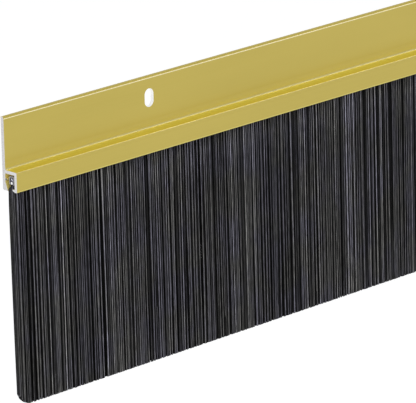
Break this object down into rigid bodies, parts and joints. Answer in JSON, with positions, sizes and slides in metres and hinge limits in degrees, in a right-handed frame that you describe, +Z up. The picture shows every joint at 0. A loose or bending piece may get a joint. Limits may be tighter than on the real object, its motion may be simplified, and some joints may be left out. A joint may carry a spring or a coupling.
{
  "type": "door sweep",
  "caption": "Brush door sweep: a gold anodised aluminium holder screws to the foot of a door, and a strip of black nylon bristles slides into its pocket to seal the gap.",
  "frame": {"origin": "middle of the row of fixing slots, on the face that lies against the door", "axes": "+X along the door's lower edge, +Y into the door, +Z up; the holder's front and its pocket are at -Y, and the brush hangs towards -Z"},
  "size_m": [0.9144, 0.0078, 0.1144],
  "materials": {
    "gold_aluminium": "gold anodised satin, bare at the sawn ends and in the punched slots",
    "strip_steel": "bare rolled strip",
    "wire_steel": "bare drawn wire",
    "black_nylon": "black nylon filament, slightly glossy"
  },
  "bodies": {
    "holder": {"holder": "gold_aluminium"},
    "brush": {"channel": "strip_steel", "core_wire": "wire_steel", "bristles_01": "black_nylon", "bristles_02": "black_nylon", "bristles_03": "black_nylon", "bristles_04": "black_nylon", "bristles_05": "black_nylon", "bristles_06": "black_nylon", "bristles_07": "black_nylon", "bristles_08": "black_nylon", "bristles_09": "black_nylon", "bristles_10": "black_nylon", "bristles_11": "black_nylon", "bristles_12": "black_nylon"}
  },
  "joints": [
    {"name": "brush_slide", "type": "slide", "parent": "holder", "child": "brush", "axis": [1, 0, 0], "range_m": [-0.85, 0.85]}
  ]
}
